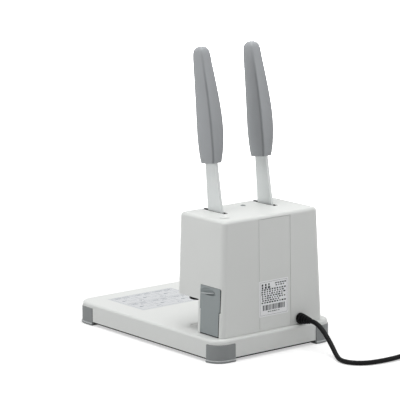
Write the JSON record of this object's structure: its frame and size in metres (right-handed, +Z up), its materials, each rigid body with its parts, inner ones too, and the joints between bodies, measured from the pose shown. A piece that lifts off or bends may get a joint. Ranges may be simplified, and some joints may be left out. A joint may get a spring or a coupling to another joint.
{
  "type": "two-lever document binding machine",
  "caption": "Desk machine that drills a stack of papers with one lever and rivets it with a hot-pressed tube with the other",
  "frame": {"origin": "centre of the machine's footprint at the underside of its four feet, without the mains cord", "axes": "+Z up; +Y to the rear, the way the housing's plain back faces; +X to the right of someone at the front, the side of the drill unit and the chip drawer"},
  "size_m": [0.4169, 0.5661, 0.4348],
  "materials": {
    "white_plastic": "fine-textured moulded plastic, white",
    "grey_rubber": "soft matt rubber, mid grey",
    "grey_plastic": "moulded plastic, mid grey",
    "painted_steel": "light grey-green enamel, satin",
    "zinc_steel": "zinc-plated pressed steel",
    "dark_steel": "black oxide and enamel",
    "bright_steel": "ground and polished steel",
    "cast_aluminium": "cast, as machined",
    "brass": "turned brass",
    "black_plastic": "moulded plastic, black",
    "nylon": "natural nylon, matt",
    "circuit_green": "solder-masked board",
    "red_lens": "clear red lens"
  },
  "bodies": {
    "stand": {"base_shell": "white_plastic", "base_bottom_plate": "dark_steel", "foot_front_left": "grey_rubber", "foot_front_right": "grey_rubber", "foot_rear_left": "grey_rubber", "foot_rear_right": "grey_rubber", "housing_shell": "white_plastic", "rear_cover": "white_plastic", "head_bottom_cover": "white_plastic", "frame_plate_left": "zinc_steel", "frame_plate_right": "zinc_steel", "frame_cross_plate": "zinc_steel", "guide_plate": "zinc_steel", "top_guide_plate": "zinc_steel", "drill_front_guide_rod": "bright_steel", "drill_rear_guide_rod": "bright_steel", "press_front_guide_rod": "bright_steel", "press_rear_guide_rod": "bright_steel", "lever_axle": "bright_steel", "axle_clip": "dark_steel", "drill_lever_spring": "dark_steel", "press_lever_spring": "dark_steel", "lower_die": "brass", "lower_heater_block": "cast_aluminium", "cutting_pad": "nylon", "drawer_guide": "zinc_steel", "control_board": "circuit_green", "transformer": "dark_steel", "power_switch_bezel": "black_plastic", "ready_lamp": "red_lens", "top_indicator": "grey_plastic", "top_plug": "white_plastic", "strain_relief": "black_plastic", "cord_run": "black_plastic", "cord_coil": "black_plastic", "cord_tie": "black_plastic", "mains_plug": "black_plastic"},
    "drill_lever": {"drill_lever_arm": "painted_steel", "drill_lever_grip": "grey_rubber", "drill_sector_gear": "zinc_steel"},
    "press_lever": {"press_lever_arm": "painted_steel", "press_lever_grip": "grey_rubber", "press_sector_gear": "zinc_steel"},
    "drill_slide": {"drill_carriage": "cast_aluminium", "drill_rack": "zinc_steel", "spindle_bearing": "bright_steel", "drill_motor": "dark_steel"},
    "press_slide": {"press_carriage": "cast_aluminium", "press_rack": "zinc_steel", "heater_insulator": "nylon", "heater_block": "cast_aluminium", "heater_cartridge": "bright_steel", "upper_die": "brass"},
    "spindle_group": {"spindle": "bright_steel", "spindle_gear": "brass", "drill_bit": "bright_steel"},
    "motor_rotor": {"motor_pinion": "brass"},
    "paper_foot": {"drill_foot": "black_plastic"},
    "drawer": {"chip_drawer": "grey_plastic"},
    "rocker": {"power_switch_rocker": "black_plastic"}
  },
  "joints": [
    {"name": "drill_lever_swing", "type": "hinge", "parent": "stand", "child": "drill_lever", "pos_m": [0, 0.105, 0.142], "axis": [1, 0, 0], "range_deg": [0, 89], "stiffness_Nm_per_rad": 0.6, "springref_deg": -60.16},
    {"name": "press_lever_swing", "type": "hinge", "parent": "stand", "child": "press_lever", "pos_m": [0, 0.105, 0.142], "axis": [1, 0, 0], "range_deg": [0, 89], "stiffness_Nm_per_rad": 0.6, "springref_deg": -60.16},
    {"name": "drill_carriage_slide", "type": "slide", "parent": "stand", "child": "drill_slide", "axis": [0, 0, -1], "range_m": [0, 0.049]},
    {"name": "press_carriage_slide", "type": "slide", "parent": "stand", "child": "press_slide", "axis": [0, 0, -1], "range_m": [0, 0.049]},
    {"name": "paper_foot_slide", "type": "slide", "parent": "stand", "child": "paper_foot", "axis": [0, 0, -1], "range_m": [0, 0.0403]},
    {"name": "spindle_spin", "type": "hinge", "parent": "drill_slide", "child": "spindle_group", "pos_m": [0.067, 0.0745, 0.1385], "axis": [0, 0, 1], "continuous": true},
    {"name": "motor_spin", "type": "hinge", "parent": "drill_slide", "child": "motor_rotor", "pos_m": [0.07213, 0.0886, 0.1515], "axis": [0, 0, 1], "continuous": true},
    {"name": "drawer_pull", "type": "slide", "parent": "stand", "child": "drawer", "axis": [1, 0, 0], "range_m": [0, 0.045]},
    {"name": "switch_rock", "type": "hinge", "parent": "stand", "child": "rocker", "pos_m": [0, 0.05822, 0.1], "axis": [-1, 0, 0], "range_deg": [0, 16]}
  ],
  "couplings": [
    {"joint": "drill_carriage_slide", "follows": "drill_lever_swing", "m_per_rad": 0.0315},
    {"joint": "paper_foot_slide", "follows": "drill_lever_swing", "m_per_rad": 0.0259},
    {"joint": "press_carriage_slide", "follows": "press_lever_swing", "m_per_rad": 0.0315},
    {"joint": "motor_spin", "follows": "spindle_spin", "ratio": -1.5}
  ]
}
